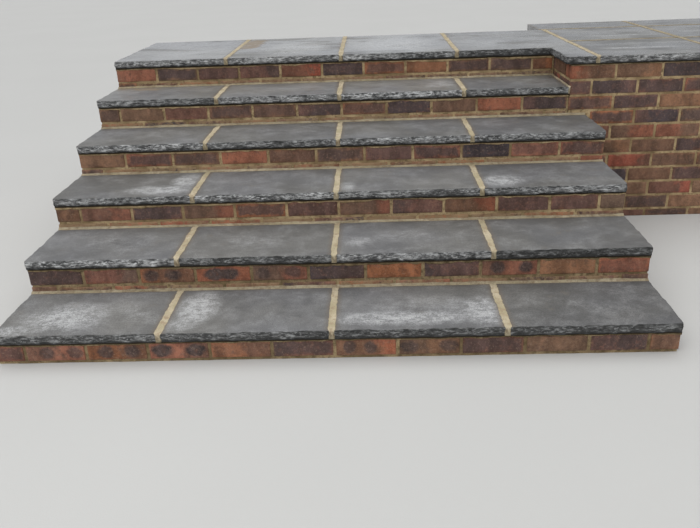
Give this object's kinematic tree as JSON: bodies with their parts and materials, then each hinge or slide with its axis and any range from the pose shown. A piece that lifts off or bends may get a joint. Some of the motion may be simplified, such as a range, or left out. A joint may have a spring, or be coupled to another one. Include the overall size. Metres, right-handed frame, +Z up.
{
  "type": "outdoor stone steps",
  "caption": "Broad flight of stone slab treads on brick risers, climbing to a slab landing that runs on as a paved terrace behind a brick retaining wall.",
  "frame": {"origin": "middle of the overall box, on the ground under the steps", "axes": "+X along the treads to the right as seen from the foot, +Y up the flight towards the building, +Z up"},
  "size_m": [4.3338, 2.9869, 0.831],
  "materials": {
    "slab_stone": "dark grey natural stone, lightly riven tops and rock-faced edges",
    "brickwork": "multi-coloured red, brown and plum facing bricks with sandy mortar",
    "mortar": "buff sand and cement mortar, rubbed flush",
    "infill_concrete": "rough concrete and hardcore"
  },
  "bodies": {
    "root": {"infill": "infill_concrete", "landing_back_wall": "brickwork", "landing_pointing": "mortar", "landing_slab_1": "slab_stone", "landing_slab_2": "slab_stone", "landing_slab_3": "slab_stone", "landing_slab_4": "slab_stone", "left_side_wall": "brickwork", "mortar_beds": "mortar", "retaining_wall": "brickwork", "return_wall": "brickwork", "right_side_wall": "brickwork", "riser_wall_1": "brickwork", "riser_wall_2": "brickwork", "riser_wall_3": "brickwork", "riser_wall_4": "brickwork", "riser_wall_5": "brickwork", "riser_wall_6": "brickwork", "terrace_back_wall": "brickwork", "terrace_end_wall": "brickwork", "terrace_inner_wall": "brickwork", "terrace_pointing": "mortar", "terrace_row_1": "slab_stone", "terrace_row_2": "slab_stone", "terrace_row_3": "slab_stone", "tread_1_slab_1": "slab_stone", "tread_1_slab_2": "slab_stone", "tread_1_slab_3": "slab_stone", "tread_1_slab_4": "slab_stone", "tread_2_slab_1": "slab_stone", "tread_2_slab_2": "slab_stone", "tread_2_slab_3": "slab_stone", "tread_2_slab_4": "slab_stone", "tread_3_slab_1": "slab_stone", "tread_3_slab_2": "slab_stone", "tread_3_slab_3": "slab_stone", "tread_3_slab_4": "slab_stone", "tread_4_slab_1": "slab_stone", "tread_4_slab_2": "slab_stone", "tread_4_slab_3": "slab_stone", "tread_4_slab_4": "slab_stone", "tread_5_slab_1": "slab_stone", "tread_5_slab_2": "slab_stone", "tread_5_slab_3": "slab_stone", "tread_5_slab_4": "slab_stone", "tread_pointing": "mortar"}
  },
  "joints": []
}
